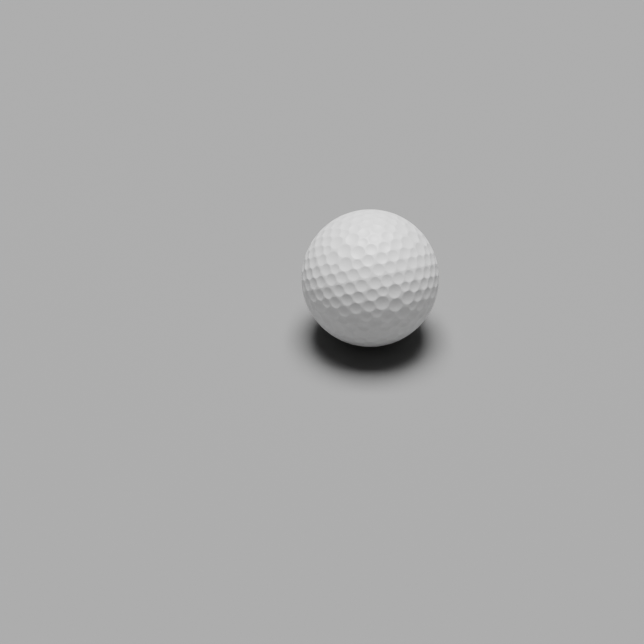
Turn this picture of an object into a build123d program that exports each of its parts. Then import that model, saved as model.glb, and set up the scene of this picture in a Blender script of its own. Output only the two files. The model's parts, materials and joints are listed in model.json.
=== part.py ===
from build123d import *
import math
import os

# A four-layer golf ball: a two-stage rubber core, a thin mantle and a dimpled cover.
# Millimetres and degrees. The origin is the ball's centre and +Z is up. The ball stands on the
# land between three dimples, on a three-fold axis of its dimple pattern, and its moulding pole
# leans from +Z towards +Y by the angle between the pattern's three-fold and five-fold axes.

# ---- driving dimensions ----
BALL_DIAMETER = 42.67  # over the lands: the least that the rules of golf allow
COVER_THICKNESS = 0.80  # under the lands
MANTLE_THICKNESS = 0.90
INNER_CORE_DIAMETER = 25.40

# Each size of dimple is (diameter at its rim, depth below the ball's sphere).
SMALL_DIMPLE = (2.94, 0.240)
MEDIUM_DIMPLE = (3.58, 0.300)
LARGE_DIMPLE = (4.26, 0.360)
DIMPLE_SIZES = (SMALL_DIMPLE, MEDIUM_DIMPLE, LARGE_DIMPLE)

CUTTER_MARGIN = 0.012  # how far a dimple's cutter reaches past the rim, outside the ball
CUTTER_RISE = 0.30  # how far it stands above the ball's sphere
SPHERE_SEAM = 10  # bearing of a half shell's own seam, off every mirror plane of the layout

# ---- sizes that follow ----
BALL_RADIUS = BALL_DIAMETER / 2
MANTLE_RADIUS = BALL_RADIUS - COVER_THICKNESS
OUTER_CORE_RADIUS = MANTLE_RADIUS - MANTLE_THICKNESS
INNER_CORE_RADIUS = INNER_CORE_DIAMETER / 2

# ---- the icosahedron that the dimples are laid out on, as angles seen from the ball's centre ----
EDGE_ANGLE = math.degrees(math.atan(2))  # from one vertex to the next
FACE_ANGLE = math.degrees(math.acos(math.sqrt((5 + 2 * math.sqrt(5)) / 15)))  # vertex to face centre
SECTOR = 360 / 5  # from one edge to the next, turned about the vertex they share
HALF_SECTOR = SECTOR / 2  # from an edge to the middle of the face beside it

# ---- dimple layout ----
# The layout has the icosahedron's full symmetry: a large dimple lies on every vertex, and each
# place below is repeated from all 60 pairs of a vertex and one of its edges. The six great
# circles that face the vertices run clear of every dimple, and the cover's joint is one of them.
SMALL_ALONG_EDGE = 16.55
MEDIUM_ALONG_EDGE = 25.90
LARGE_BESIDE_VERTEX = 11.80  # towards the face centre
MEDIUM_OFF_FACE_CENTRE = 5.82  # back towards the vertex
MEDIUM_OFF_EDGE_MIDDLE = 9.42  # square to the edge
SHOULDER_ALONG_EDGE = 20.50
SHOULDER_OFF_EDGE = 8.38


def off_edge(along, across):
    """Distance and bearing, from the vertex, of the place so far along an edge and so far off it."""
    a, b = math.radians(along), math.radians(across)
    distance = math.degrees(math.acos(math.cos(a) * math.cos(b)))
    bearing = math.degrees(math.atan2(math.tan(b), math.sin(a)))
    return distance, bearing


MIDDLE_DISTANCE, MIDDLE_BEARING = off_edge(EDGE_ANGLE / 2, MEDIUM_OFF_EDGE_MIDDLE)
SHOULDER_DISTANCE, SHOULDER_BEARING = off_edge(SHOULDER_ALONG_EDGE, SHOULDER_OFF_EDGE)

PLACES = [  # (size, distance from the vertex, bearing from the edge)
    (SMALL_DIMPLE, SMALL_ALONG_EDGE, 0),
    (MEDIUM_DIMPLE, MEDIUM_ALONG_EDGE, 0),
    (LARGE_DIMPLE, LARGE_BESIDE_VERTEX, HALF_SECTOR),
    (MEDIUM_DIMPLE, FACE_ANGLE - MEDIUM_OFF_FACE_CENTRE, HALF_SECTOR),
    (MEDIUM_DIMPLE, MIDDLE_DISTANCE, MIDDLE_BEARING),
    (MEDIUM_DIMPLE, SHOULDER_DISTANCE, SHOULDER_BEARING),
    (MEDIUM_DIMPLE, SHOULDER_DISTANCE, -SHOULDER_BEARING),
]


def direction(distance, bearing):
    """Unit vector at that distance from +Z and that bearing from +X."""
    d, b = math.radians(distance), math.radians(bearing)
    return Vector(math.sin(d) * math.cos(b), math.sin(d) * math.sin(b), math.cos(d))


def vertex_directions():
    """The icosahedron's twelve vertices, with one at each end of the Z axis."""
    upper = [direction(EDGE_ANGLE, SECTOR * k) for k in range(5)]
    lower = [direction(180 - EDGE_ANGLE, SECTOR * k + HALF_SECTOR) for k in range(5)]
    return [Vector(0, 0, 1), *upper, *lower, Vector(0, 0, -1)]


def dimple_layout():
    """(size, direction) of every dimple, with the moulding pole on +Z."""
    vertices = vertex_directions()
    layout = [(LARGE_DIMPLE, vertex) for vertex in vertices]
    for vertex in vertices:
        neighbours = [v for v in vertices if v is not vertex and vertex.dot(v) > 0]
        for neighbour in neighbours:
            along_edge = neighbour - vertex * vertex.dot(neighbour)
            seat = Plane(origin=(0, 0, 0), x_dir=along_edge, z_dir=vertex)
            for size, distance, bearing in PLACES:
                layout.append((size, seat.from_local_coords(direction(distance, bearing))))
    return layout


def dimple_cutter(size):
    """Cutter for one dimple on the +Z axis: a spherical floor inside a straight wall."""
    diameter, depth = size
    rim_radius = diameter / 2
    rim_height = math.sqrt(BALL_RADIUS**2 - rim_radius**2)
    floor_height = BALL_RADIUS - depth
    sag = rim_height - floor_height
    floor_radius = (rim_radius**2 + sag**2) / (2 * sag)
    bottom = (Align.CENTER, Align.CENTER, Align.MIN)
    wall = Cylinder(rim_radius + CUTTER_MARGIN, depth + CUTTER_RISE, align=bottom)
    floor = Pos(0, 0, floor_radius) * Sphere(floor_radius)
    return Pos(0, 0, floor_height) * (wall & floor)


def half_shell(outer_radius, inner_radius):
    """The half of a hollow sphere that lies above the plane Z = 0."""
    room = 2 * outer_radius
    upper_half = Pos(0, 0, room / 2) * Box(2 * room, 2 * room, room)
    whole = Sphere(outer_radius) - Sphere(inner_radius)
    return Rotation(0, 0, SPHERE_SEAM) * whole & upper_half


def cover_half():
    """One half of the cover, with every dimple whose centre is above the joint."""
    cutters = {size: dimple_cutter(size) for size in DIMPLE_SIZES}
    dimples = [
        Plane(origin=(0, 0, 0), z_dir=towards).location * cutters[size]
        for size, towards in dimple_layout()
        if towards.Z > 0
    ]
    return half_shell(BALL_RADIUS, MANTLE_RADIUS) - dimples


def cover_halves():
    """Both halves from one mould, the lower one turned over so that the pattern runs on."""
    turned_over = Rotation(0, 0, HALF_SECTOR) * Rotation(180, 0, 0)
    lean_of_pole = Rotation(-FACE_ANGLE, 0, 0) * Rotation(0, 0, -90 - HALF_SECTOR)
    half = cover_half()
    return lean_of_pole * half, lean_of_pole * turned_over * half


def mantle():
    """The casing layer, moulded in one shot, so it has no joint."""
    return Sphere(MANTLE_RADIUS) - Sphere(OUTER_CORE_RADIUS)


def outer_core_halves():
    """Two half shells that are moulded onto the inner core, joined square across the cover's joint."""
    turned_over = Rotation(180, 0, 0)
    lean_of_pole = Rotation(90 - FACE_ANGLE, 0, 0)
    half = half_shell(OUTER_CORE_RADIUS, INNER_CORE_RADIUS)
    return lean_of_pole * turned_over * half, lean_of_pole * half


def inner_core():
    return Sphere(INNER_CORE_RADIUS)


cover_upper, cover_lower = cover_halves()
outer_core_front, outer_core_back = outer_core_halves()
PARTS = {
    "cover_upper": cover_upper,
    "cover_lower": cover_lower,
    "mantle": mantle(),
    "outer_core_front": outer_core_front,
    "outer_core_back": outer_core_back,
    "inner_core": inner_core(),
}

os.makedirs("parts", exist_ok=True)
for name, shape in PARTS.items():
    export_step(shape, f"parts/{name}.step")
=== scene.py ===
import json
import math

import bmesh
import bpy
from mathutils import Matrix, Vector
from mathutils.kdtree import KDTree


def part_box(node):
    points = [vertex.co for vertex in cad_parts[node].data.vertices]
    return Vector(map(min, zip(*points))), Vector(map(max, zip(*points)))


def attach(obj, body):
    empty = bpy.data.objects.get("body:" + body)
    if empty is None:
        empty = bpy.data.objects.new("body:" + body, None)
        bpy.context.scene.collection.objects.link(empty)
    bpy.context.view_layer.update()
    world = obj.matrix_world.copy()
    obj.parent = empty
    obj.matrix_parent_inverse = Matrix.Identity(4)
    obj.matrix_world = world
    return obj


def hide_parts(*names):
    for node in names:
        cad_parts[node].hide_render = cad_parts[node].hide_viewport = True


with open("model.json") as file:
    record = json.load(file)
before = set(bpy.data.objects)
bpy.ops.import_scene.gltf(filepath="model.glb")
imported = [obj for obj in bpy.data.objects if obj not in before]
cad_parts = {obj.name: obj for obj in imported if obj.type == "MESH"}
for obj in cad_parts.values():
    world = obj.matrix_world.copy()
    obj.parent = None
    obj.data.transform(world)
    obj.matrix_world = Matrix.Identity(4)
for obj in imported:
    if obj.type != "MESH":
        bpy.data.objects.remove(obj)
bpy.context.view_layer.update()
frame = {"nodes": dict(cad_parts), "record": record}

# A white golf ball. Pieces are modelled in millimetres about the ball's centre and scaled to
# metres once they are whole. Angles are in degrees.
MM = 0.001
TEE_SEAT = next(m for m in frame["record"]["mounts"] if m["name"] == "tee_seat")
BALL_RADIUS = -TEE_SEAT["pos_m"][2] / MM
COVER_INNER_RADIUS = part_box("mantle")[1].x / MM

# ---- dimple layout, as in the CAD model ----
# Each size of dimple is (diameter at its rim, depth below the ball's sphere).
SMALL_DIMPLE = (2.94, 0.240)
MEDIUM_DIMPLE = (3.58, 0.300)
LARGE_DIMPLE = (4.26, 0.360)

# The icosahedron that the dimples are laid out on, as angles seen from the ball's centre.
VERTEX_EDGES = 5  # edges that meet at a vertex
EDGE_ANGLE = math.degrees(math.atan(2))  # from one vertex to the next
FACE_ANGLE = math.degrees(math.acos(math.sqrt((5 + 2 * math.sqrt(5)) / 15)))  # vertex to face centre
SECTOR = 360 / VERTEX_EDGES  # from one edge to the next, turned about the vertex they share
HALF_SECTOR = SECTOR / 2  # from an edge to the middle of the face beside it

# A large dimple lies on every vertex, and each of these places is repeated from all 60 pairs of
# a vertex and one of its edges.
SMALL_ALONG_EDGE = 16.55
MEDIUM_ALONG_EDGE = 25.90
LARGE_BESIDE_VERTEX = 11.80  # towards the face centre
MEDIUM_OFF_FACE_CENTRE = 5.82  # back towards the vertex
MEDIUM_OFF_EDGE_MIDDLE = 9.42  # square to the edge
SHOULDER_ALONG_EDGE = 20.50
SHOULDER_OFF_EDGE = 8.38

# ---- how the cover is shaped ----
BLOCK_SIZE = 3 * BALL_RADIUS  # side of the cube that the lands are cut from, larger than the ball
RIM_SOFTNESS = 0.08  # how far paint and polishing round a dimple's rim, to each side of it
OUTLINE_STEP = 0.30  # spacing of points along the lands
RIM_RINGS = (RIM_SOFTNESS, 0, -RIM_SOFTNESS)  # a cell's rings, as offsets from the rim, outside first
FLOOR_RINGS = (0.80, 0.60, 0.40, 0.20)  # and on the dimple's floor, as shares of the rim's radius
LAND_SHARE = 0.6  # a ring outside a rim goes at most this share of the way to the land's middle
SEAM_CHAMFER = 0.02  # the parting line's broken edge
WALL_RINGS = 24  # from the joint to the pole on the cover's inner wall
SHARP_ANGLE = math.radians(30)  # an edge between faces that turn more than this stays sharp
NEIGHBOURS = 3  # dimples whose rims can meet at one point of the land


def direction(distance, bearing):
    """Unit vector at that distance from +Z and that bearing from +X."""
    d, b = math.radians(distance), math.radians(bearing)
    return Vector((math.sin(d) * math.cos(b), math.sin(d) * math.sin(b), math.cos(d)))


def off_edge(along, across):
    """Distance and bearing, from the vertex, of the place so far along an edge and so far off it."""
    a, b = math.radians(along), math.radians(across)
    distance = math.degrees(math.acos(math.cos(a) * math.cos(b)))
    bearing = math.degrees(math.atan2(math.tan(b), math.sin(a)))
    return distance, bearing


def dimple_layout():
    """(size, direction) of every dimple, with the moulding pole on +Z."""
    middle_distance, middle_bearing = off_edge(EDGE_ANGLE / 2, MEDIUM_OFF_EDGE_MIDDLE)
    shoulder_distance, shoulder_bearing = off_edge(SHOULDER_ALONG_EDGE, SHOULDER_OFF_EDGE)
    places = [
        (SMALL_DIMPLE, SMALL_ALONG_EDGE, 0),
        (MEDIUM_DIMPLE, MEDIUM_ALONG_EDGE, 0),
        (LARGE_DIMPLE, LARGE_BESIDE_VERTEX, HALF_SECTOR),
        (MEDIUM_DIMPLE, FACE_ANGLE - MEDIUM_OFF_FACE_CENTRE, HALF_SECTOR),
        (MEDIUM_DIMPLE, middle_distance, middle_bearing),
        (MEDIUM_DIMPLE, shoulder_distance, shoulder_bearing),
        (MEDIUM_DIMPLE, shoulder_distance, -shoulder_bearing),
    ]
    upper = [direction(EDGE_ANGLE, SECTOR * k) for k in range(VERTEX_EDGES)]
    lower = [direction(180 - EDGE_ANGLE, SECTOR * k + HALF_SECTOR) for k in range(VERTEX_EDGES)]
    vertices = [Vector((0, 0, 1)), *upper, *lower, Vector((0, 0, -1))]
    layout = [(LARGE_DIMPLE, vertex) for vertex in vertices]
    for vertex in vertices:
        neighbours = [v for v in vertices if v is not vertex and vertex.dot(v) > 0]
        for neighbour in neighbours:
            along_edge = (neighbour - vertex * vertex.dot(neighbour)).normalized()
            seat = Matrix((along_edge, vertex.cross(along_edge), vertex)).transposed()
            for size, distance, bearing in places:
                layout.append((size, seat @ direction(distance, bearing)))
    return layout


LAYOUT = dimple_layout()
DIMPLE_FINDER = KDTree(len(LAYOUT))
for index, (_, towards) in enumerate(LAYOUT):
    DIMPLE_FINDER.insert(towards, index)
DIMPLE_FINDER.balance()


def rim_arc(size):
    """Distance over the sphere from a dimple's middle to its rim."""
    return BALL_RADIUS * math.asin(size[0] / 2 / BALL_RADIUS)


def dimple_depth(size, arc):
    """Depth of a dimple at that distance from its middle: a round floor with a softened rim."""
    inside = rim_arc(size) - arc
    if inside <= -RIM_SOFTNESS:
        return 0
    if inside < RIM_SOFTNESS:
        inside = (inside + RIM_SOFTNESS) ** 2 / (4 * RIM_SOFTNESS)
    share = inside / rim_arc(size)
    return size[1] * share * (2 - share)


def on_cover(towards):
    """Point of the painted surface in that direction."""
    depth = 0
    for _, index, _ in DIMPLE_FINDER.find_n(towards, NEIGHBOURS):
        size, middle = LAYOUT[index]
        depth += dimple_depth(size, BALL_RADIUS * towards.angle(middle))
    return towards * (BALL_RADIUS - depth)


def slice_off(bm, point, normal):
    """Takes off what lies beyond the plane and closes the cut with a flat face."""
    everything = bm.verts[:] + bm.edges[:] + bm.faces[:]
    cut = bmesh.ops.bisect_plane(bm, geom=everything, plane_co=point, plane_no=normal, clear_outer=True)
    outline = [e for e in cut["geom_cut"] if isinstance(e, bmesh.types.BMEdge)]
    bmesh.ops.edgeloop_fill(bm, edges=outline)


def land_net(bm):
    """Flats cut on half a ball at every dimple's rim: their edges run down the middle of the lands."""
    bmesh.ops.create_cube(bm, size=BLOCK_SIZE)
    slice_off(bm, (0, 0, 0), (0, 0, -1))
    for size, towards in LAYOUT:
        if towards.z > 0:
            rim_height = math.sqrt(BALL_RADIUS**2 - (size[0] / 2) ** 2)
            slice_off(bm, towards * rim_height, towards)
    bm.normal_update()
    joint_face = min(bm.faces, key=lambda f: f.normal.z)
    bmesh.ops.delete(bm, geom=[joint_face], context="FACES_ONLY")


def divide_edges(bm, step):
    """Divides every edge evenly into lengths of about one step."""
    by_cuts = {}
    for edge in bm.edges:
        by_cuts.setdefault(round(edge.calc_length() / step) - 1, []).append(edge)
    for cuts, edges in by_cuts.items():
        if cuts > 0:
            bmesh.ops.bisect_edges(bm, edges=edges, cuts=cuts)


def dimple_cells(bm):
    """Sinks a dimple into every flat: rings inset from the middle of the lands to its own middle."""
    cells = []
    for face in bm.faces:
        _, index, _ = DIMPLE_FINDER.find(face.normal)
        cells.append((face, *LAYOUT[index]))
    divide_edges(bm, OUTLINE_STEP)
    for vert in bm.verts:
        vert.co = on_cover(vert.co.normalized())

    def inset_ring(ring_arc):
        bmesh.ops.inset_individual(bm, faces=[face for face, _, _ in cells], thickness=0)
        for face, size, middle in cells:
            for vert in face.verts:
                outward = vert.co.normalized()
                arc = ring_arc(rim_arc(size), BALL_RADIUS * outward.angle(middle))
                sideways = (outward - middle * middle.dot(outward)).normalized()
                turn = arc / BALL_RADIUS
                vert.co = on_cover(middle * math.cos(turn) + sideways * math.sin(turn))

    for offset in RIM_RINGS:
        inset_ring(lambda rim, arc: rim + min(offset, LAND_SHARE * (arc - rim)))
    for share in FLOOR_RINGS:
        inset_ring(lambda rim, arc: share * rim)
    middles = bmesh.ops.poke(bm, faces=[face for face, _, _ in cells])["verts"]
    for vert in middles:
        vert.co = on_cover(vert.co.normalized())


def extrude_loop(bm, loop, place):
    """Draws the loop out by one step, and puts each new point where place says."""
    drawn = bmesh.ops.extrude_edge_only(bm, edges=loop)["geom"]
    for vert in (v for v in drawn if isinstance(v, bmesh.types.BMVert)):
        vert.co = place(Vector((vert.co.x, vert.co.y, 0)).normalized())
    return [e for e in drawn if isinstance(e, bmesh.types.BMEdge) and e.is_boundary]


def close_wall(bm):
    """Turns the dimpled skin into a shell: the joint's face, then the plain inner wall."""
    loop = [edge for edge in bm.edges if edge.is_boundary]
    for vert in {v for edge in loop for v in edge.verts}:
        vert.co.z = SEAM_CHAMFER
    joint_radius = BALL_RADIUS - SEAM_CHAMFER
    loop = extrude_loop(bm, loop, lambda outward: outward * joint_radius)
    loop = extrude_loop(bm, loop, lambda outward: outward * COVER_INNER_RADIUS)
    for ring in range(1, WALL_RINGS):
        height = math.radians(90 * ring / WALL_RINGS)
        level, rise = COVER_INNER_RADIUS * math.cos(height), COVER_INNER_RADIUS * math.sin(height)
        loop = extrude_loop(bm, loop, lambda outward: outward * level + Vector((0, 0, rise)))
    cap = bmesh.ops.edgeloop_fill(bm, edges=loop)["faces"]
    pole = bmesh.ops.poke(bm, faces=cap)["verts"][0]
    pole.co = (0, 0, COVER_INNER_RADIUS)


def cover_half():
    """One half of the cover, above its joint and with the moulding pole on +Z."""
    bm = bmesh.new()
    land_net(bm)
    dimple_cells(bm)
    close_wall(bm)
    bmesh.ops.recalc_face_normals(bm, faces=bm.faces)
    bmesh.ops.triangulate(bm, faces=bm.faces)
    for face in bm.faces:
        face.smooth = True
    for edge in bm.edges:
        edge.smooth = edge.calc_face_angle() < SHARP_ANGLE
    return bm


def finished_piece(name, bm, lie, material):
    """A piece in its place on the ball, in metres, from a shape with its pole on +Z."""
    mesh = bpy.data.meshes.new(name)
    bm.to_mesh(mesh)
    mesh.transform(Matrix.Scale(MM, 4) @ lie)
    mesh.materials.append(material)
    piece = bpy.data.objects.new(name, mesh)
    bpy.context.scene.collection.objects.link(piece)
    return piece


# ---- materials ----
def linear(hex_colour):
    """Linear colour from an sRGB hex value."""
    channels = [int(hex_colour[i : i + 2], 16) / 255 for i in (1, 3, 5)]
    return (*[c / 12.92 if c <= 0.04045 else ((c + 0.055) / 1.055) ** 2.4 for c in channels], 1)


def add(tree, kind, inputs=None, **settings):
    """Adds a node. An input takes a value or another node's output, and settings are its properties."""
    node = tree.nodes.new(kind)
    for name, value in settings.items():
        setattr(node, name, value)
    for name, value in (inputs or {}).items():
        if isinstance(value, bpy.types.NodeSocket):
            tree.links.new(value, node.inputs[name])
        else:
            node.inputs[name].default_value = value
    return node


def new_material(name):
    """A material with an empty node tree, and the tree."""
    material = bpy.data.materials.new(name)
    material.use_nodes = True
    material.node_tree.nodes.clear()
    return material, material.node_tree


def per_mm(size):
    """Scale of a pattern on coordinates in metres whose features are so many millimetres across."""
    return 1 / (size * MM)


def painted_urethane():
    """Cast urethane under white two-part paint and a clear coat: a clean neutral white with a soft
    satin sheen, faint orange peel in the clear coat and a barely greyer bloom from handling."""
    material, tree = new_material("white_painted_urethane")
    place = add(tree, "ShaderNodeTexCoord").outputs["Object"]
    cloud = add(
        tree,
        "ShaderNodeTexNoise",
        {"Vector": place, "Scale": per_mm(9), "Detail": 3, "Roughness": 0.55},
    )
    colour = add(
        tree,
        "ShaderNodeMix",
        {"Factor": cloud.outputs["Fac"], "A": linear("#E7E7E7"), "B": linear("#DEDEDE")},
        data_type="RGBA",
    )
    dulling = add(
        tree,
        "ShaderNodeMapRange",
        {
            "Value": cloud.outputs["Fac"],
            "From Min": 0.3,
            "From Max": 0.7,
            "To Min": 0.48,
            "To Max": 0.54,
        },
    )
    peel = add(
        tree,
        "ShaderNodeTexNoise",
        {"Vector": place, "Scale": per_mm(0.9), "Detail": 2, "Roughness": 0.4},
    )
    bump = add(
        tree,
        "ShaderNodeBump",
        {"Height": peel.outputs["Fac"], "Strength": 0.35, "Distance": 0.012 * MM},
    )
    shader = add(
        tree,
        "ShaderNodeBsdfPrincipled",
        {
            "Base Color": colour.outputs["Result"],
            "Roughness": dulling.outputs["Result"],
            "Normal": bump.outputs["Normal"],
            "IOR": 1.5,
            "Coat Weight": 0.28,
            "Coat Roughness": 0.34,
            "Coat IOR": 1.5,
        },
    )
    add(tree, "ShaderNodeOutputMaterial", {"Surface": shader.outputs["BSDF"]})
    return material


def moulded_ionomer():
    """Injection-moulded ionomer, tumbled so that the cover bonds: milky, a little see-through at
    the surface, with a fine frosted grain and faint flow lines that ring the gate at its pole.
    The real grain is finer than 0.1 mm, and it is drawn coarser so that it shows."""
    material, tree = new_material("milky_tumbled_ionomer")
    place = add(tree, "ShaderNodeTexCoord").outputs["Object"]
    flow = add(
        tree,
        "ShaderNodeTexWave",
        {"Vector": place, "Scale": per_mm(14), "Distortion": 6, "Detail": 2, "Detail Scale": 1.2},
        wave_type="RINGS",
        rings_direction="Z",
    )
    colour = add(
        tree,
        "ShaderNodeMix",
        {"Factor": flow.outputs["Fac"], "A": linear("#E6E1D2"), "B": linear("#DAD4C2")},
        data_type="RGBA",
    )
    grain = add(
        tree,
        "ShaderNodeTexNoise",
        {"Vector": place, "Scale": per_mm(0.25), "Detail": 4, "Roughness": 0.6},
    )
    bump = add(
        tree,
        "ShaderNodeBump",
        {"Height": grain.outputs["Fac"], "Strength": 0.5, "Distance": 0.02 * MM},
    )
    shader = add(
        tree,
        "ShaderNodeBsdfPrincipled",
        {
            "Base Color": colour.outputs["Result"],
            "Normal": bump.outputs["Normal"],
            "Roughness": 0.5,
            "IOR": 1.49,
            "Subsurface Weight": 0.4,
            "Subsurface Radius": (1.0, 0.9, 0.7),
            "Subsurface Scale": 0.8 * MM,
        },
    )
    add(tree, "ShaderNodeOutputMaterial", {"Surface": shader.outputs["BSDF"]})
    return material


def ground_rubber(name, body, shade, speck):
    """Polybutadiene rubber, press-moulded and centreless-ground: matt, with the powdery bloom of its
    curing salts, pale specks of zinc oxide filler and short fine scratches from the wheel. The real
    specks and scratches are under 0.1 mm across, and they are drawn coarser so that they show."""
    material, tree = new_material(name)
    place = add(tree, "ShaderNodeTexCoord").outputs["Object"]
    bloom = add(
        tree,
        "ShaderNodeTexNoise",
        {"Vector": place, "Scale": per_mm(6), "Detail": 5, "Roughness": 0.6},
    )
    rubber = add(
        tree,
        "ShaderNodeMix",
        {"Factor": bloom.outputs["Fac"], "A": linear(body), "B": linear(shade)},
        data_type="RGBA",
    )
    filler = add(tree, "ShaderNodeTexVoronoi", {"Vector": place, "Scale": per_mm(0.8)})
    is_speck = add(
        tree,
        "ShaderNodeMapRange",
        {"Value": filler.outputs["Distance"], "From Min": 0.20, "From Max": 0.10},
    )
    colour = add(
        tree,
        "ShaderNodeMix",
        {"Factor": is_speck.outputs["Result"], "A": rubber.outputs["Result"], "B": linear(speck)},
        data_type="RGBA",
    )
    along_wheel = add(tree, "ShaderNodeMapping", {"Vector": place, "Scale": (0.15, 0.15, 1)})
    scratches = add(
        tree,
        "ShaderNodeTexNoise",
        {"Vector": along_wheel.outputs["Vector"], "Scale": per_mm(0.3), "Detail": 4, "Roughness": 0.7},
    )
    bump = add(
        tree,
        "ShaderNodeBump",
        {"Height": scratches.outputs["Fac"], "Strength": 0.6, "Distance": 0.03 * MM},
    )
    shader = add(
        tree,
        "ShaderNodeBsdfPrincipled",
        {
            "Base Color": colour.outputs["Result"],
            "Normal": bump.outputs["Normal"],
            "Roughness": 0.7,
            "IOR": 1.52,
            "Specular IOR Level": 0.35,
        },
    )
    add(tree, "ShaderNodeOutputMaterial", {"Surface": shader.outputs["BSDF"]})
    return material


def studio_floor():
    """Matt pale grey paper. It shows no underside, so that the ball can be looked at from below."""
    material, tree = new_material("pale_matt_floor")
    paper = add(
        tree,
        "ShaderNodeBsdfPrincipled",
        {"Base Color": linear("#8D8D8D"), "Roughness": 0.95, "Specular IOR Level": 0.1},
    )
    clear = add(tree, "ShaderNodeBsdfTransparent")
    underside = add(tree, "ShaderNodeNewGeometry").outputs["Backfacing"]
    one_sided = add(
        tree,
        "ShaderNodeMixShader",
        {0: underside, 1: paper.outputs["BSDF"], 2: clear.outputs["BSDF"]},
    )
    add(tree, "ShaderNodeOutputMaterial", {"Surface": one_sided.outputs["Shader"]})
    return material


# ---- the ball ----
# The moulding pole leans towards +Y, so that the face centre beside it comes up to +Z.
POLE_LEAN = Matrix.Rotation(math.radians(-FACE_ANGLE), 4, "X") @ Matrix.Rotation(
    math.radians(-90 - HALF_SECTOR), 4, "Z"
)
TURNED_OVER = Matrix.Rotation(math.radians(HALF_SECTOR), 4, "Z") @ Matrix.Rotation(math.pi, 4, "X")

cover = painted_urethane()
half = cover_half()
cover_upper = finished_piece("cover_shell_upper", half, POLE_LEAN, cover)
cover_lower = finished_piece("cover_shell_lower", half, POLE_LEAN @ TURNED_OVER, cover)
for piece, node in ((cover_upper, "cover_upper"), (cover_lower, "cover_lower")):
    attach(piece, "root")
    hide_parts(node)

outer_rubber = ground_rubber("blue_ground_rubber", "#2E6F86", "#285F74", "#6E9DAE")
inner_rubber = ground_rubber("orange_ground_rubber", "#C4602A", "#B25322", "#D68B5E")
LAYER_MATERIALS = {
    "mantle": moulded_ionomer(),
    "outer_core_front": outer_rubber,
    "outer_core_back": outer_rubber,
    "inner_core": inner_rubber,
}
for node, material in LAYER_MATERIALS.items():
    for socket in frame["nodes"][node].material_slots:
        socket.material = material

# ---- studio ----
# Metres and degrees. Azimuth 0 looks along +Y, and azimuth 90 along -X.
FLOOR_SIZE = 3.0
WALLS_END = 0.05  # sine of the elevation where the walls start to fade into the ceiling
CEILING_START = 0.25  # and where the ceiling's own brightness is reached
VIEW_AZIMUTH = -22.3
VIEW_ELEVATION = 34.8
VIEW_ROLL = 1.5
VIEW_DISTANCE = 22.2 * BALL_RADIUS * MM  # from the ball's centre
VIEW_WIDTH = 200.3 * MM  # of what the camera sees at the ball
AIM_LEFT = 14.95 * MM  # the camera aims this far left of the ball's centre
AIM_BELOW = 13.6 * MM  # and this far below it


def back_towards(azimuth, elevation):
    """Unit vector from the ball back towards whoever looks at it at those angles."""
    a, e = math.radians(azimuth), math.radians(elevation)
    return Vector((math.sin(a) * math.cos(e), -math.cos(a) * math.cos(e), math.sin(e)))


def stage_floor():
    """The level floor that the ball stands on."""
    bm = bmesh.new()
    bmesh.ops.create_grid(bm, x_segments=1, y_segments=1, size=FLOOR_SIZE / 2)
    bmesh.ops.translate(bm, verts=bm.verts, vec=(0, 0, -BALL_RADIUS * MM))
    mesh = bpy.data.meshes.new("floor")
    bm.to_mesh(mesh)
    mesh.materials.append(studio_floor())
    floor = bpy.data.objects.new("floor", mesh)
    bpy.context.scene.collection.objects.link(floor)


def soft_light(name, azimuth, elevation, distance, size, power):
    """A square soft box that faces the ball, with its side in metres and its power in watts."""
    lamp = bpy.data.lights.new(name, "AREA")
    lamp.size = size
    lamp.energy = power
    back = back_towards(azimuth, elevation)
    box = bpy.data.objects.new(name, lamp)
    box.location = back * distance
    box.rotation_mode = "QUATERNION"
    box.rotation_quaternion = (-back).to_track_quat("-Z", "Y")
    bpy.context.scene.collection.objects.link(box)


def room_light(walls, ceiling):
    """Pale walls that fade into a dimmer ceiling, each with its brightness."""
    world = bpy.data.worlds.new("studio_room")
    world.use_nodes = True
    tree = world.node_tree
    tree.nodes.clear()
    outwards = add(tree, "ShaderNodeTexCoord").outputs["Generated"]
    height = add(tree, "ShaderNodeSeparateXYZ", {"Vector": outwards}).outputs["Z"]
    shade = add(
        tree,
        "ShaderNodeMapRange",
        {
            "Value": height,
            "From Min": WALLS_END,
            "From Max": CEILING_START,
            "To Min": walls,
            "To Max": ceiling,
        },
        interpolation_type="SMOOTHSTEP",
    )
    glow = add(
        tree,
        "ShaderNodeBackground",
        {"Color": linear("#FFFFFF"), "Strength": shade.outputs["Result"]},
    )
    add(tree, "ShaderNodeOutputWorld", {"Surface": glow.outputs["Background"]})
    bpy.context.scene.world = world


def main_camera():
    """The camera at the main view's angle, turned from the ball's centre to its own aim."""
    back = back_towards(VIEW_AZIMUTH, VIEW_ELEVATION)
    level = back.to_track_quat("Z", "Y").to_matrix()
    rolled = level @ Matrix.Rotation(math.radians(VIEW_ROLL), 3, "Z")
    right, up = rolled.col[0], rolled.col[1]
    lens = bpy.data.cameras.new("camera")
    lens.lens = lens.sensor_width * VIEW_DISTANCE / VIEW_WIDTH
    camera = bpy.data.objects.new("camera", lens)
    camera.location = back * VIEW_DISTANCE
    away = (camera.location + right * AIM_LEFT + up * AIM_BELOW).normalized()
    aimed = rolled.col[2].rotation_difference(away).to_matrix() @ rolled
    camera.rotation_mode = "QUATERNION"
    camera.rotation_quaternion = aimed.to_quaternion()
    bpy.context.scene.collection.objects.link(camera)
    bpy.context.scene.camera = camera


stage_floor()
soft_light("overhead", azimuth=157.7, elevation=83, distance=6, size=3.1, power=626)
room_light(walls=0.43, ceiling=0.08)
main_camera()
bpy.context.scene.view_settings.view_transform = "AgX"
bpy.context.scene.view_settings.look = "AgX - Medium High Contrast"
